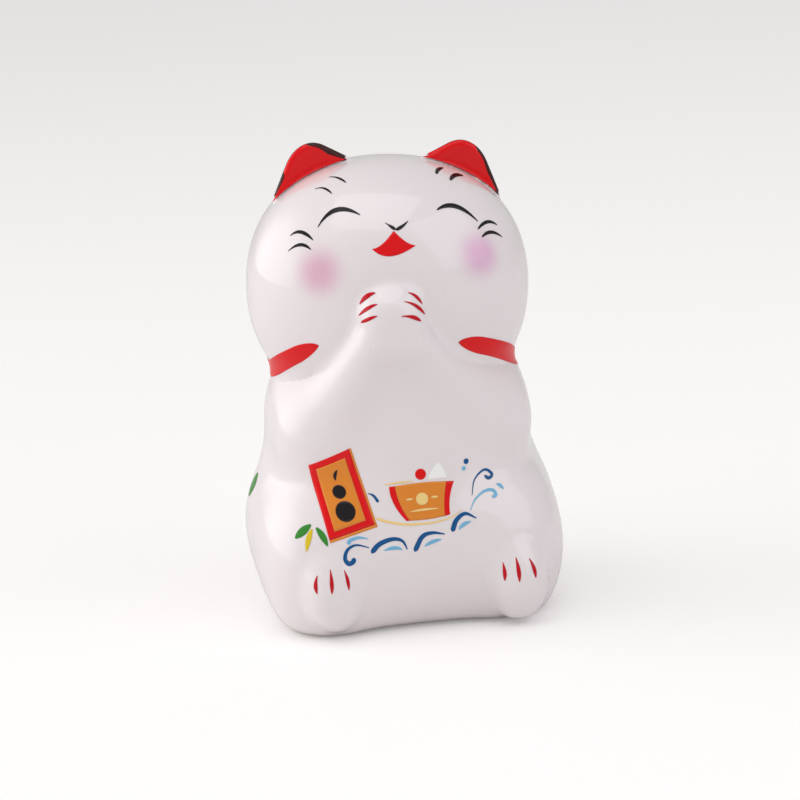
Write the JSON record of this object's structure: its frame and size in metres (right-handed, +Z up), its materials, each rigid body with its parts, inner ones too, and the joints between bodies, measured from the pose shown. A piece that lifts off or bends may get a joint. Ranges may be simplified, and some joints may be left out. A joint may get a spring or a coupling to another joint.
{
  "type": "beckoning cat figurine",
  "caption": "Small glazed ceramic lucky cat that sits with its front paws joined under its chin, decorated with fired enamel. Stands on a flat base.",
  "frame": {"origin": "middle of the flat base, on the table", "axes": "the cat faces -Y, +X is on the viewer's right, +Z is up"},
  "size_m": [0.05, 0.0459, 0.0758],
  "materials": {
    "glazed_ceramic": "glossy white glaze over fired earthenware, unglazed at the base",
    "enamel_red": "glossy fired red enamel",
    "enamel_black": "glossy fired black enamel",
    "enamel_brown": "glossy fired dark brown enamel",
    "enamel_orange": "fired orange gold transfer",
    "enamel_cream": "fired pale gold transfer",
    "enamel_white": "fired white transfer",
    "enamel_blue": "fired blue transfer",
    "enamel_sky": "fired light blue transfer",
    "enamel_green": "fired green transfer",
    "enamel_yellow": "fired yellow transfer"
  },
  "bodies": {
    "root": {"ceramic_body": "glazed_ceramic", "ear_red_left": "enamel_red", "ear_red_right": "enamel_red", "ear_dark_left": "enamel_brown", "ear_dark_right": "enamel_brown", "brow_marks_left": "enamel_black", "brow_marks_right": "enamel_black", "eye_line_left": "enamel_black", "eye_line_right": "enamel_black", "whisker_marks_left": "enamel_black", "whisker_marks_right": "enamel_black", "nose_mark": "enamel_black", "mouth_mark": "enamel_red", "finger_marks_left": "enamel_red", "finger_marks_right": "enamel_red", "collar_band": "enamel_red", "toe_marks_left": "enamel_red", "toe_marks_right": "enamel_red", "plaque_border": "enamel_red", "plaque_field": "enamel_orange", "plaque_motif": "enamel_black", "sail_field": "enamel_orange", "sail_bands": "enamel_red", "sail_motif": "enamel_cream", "hull_line": "enamel_cream", "cargo_mound": "enamel_white", "cargo_ball": "enamel_red", "waves_dark": "enamel_blue", "waves_light": "enamel_sky", "spray_dark": "enamel_blue", "spray_light": "enamel_sky", "leaves_green": "enamel_green", "leaf_yellow": "enamel_yellow", "side_leaf": "enamel_green"}
  },
  "joints": []
}
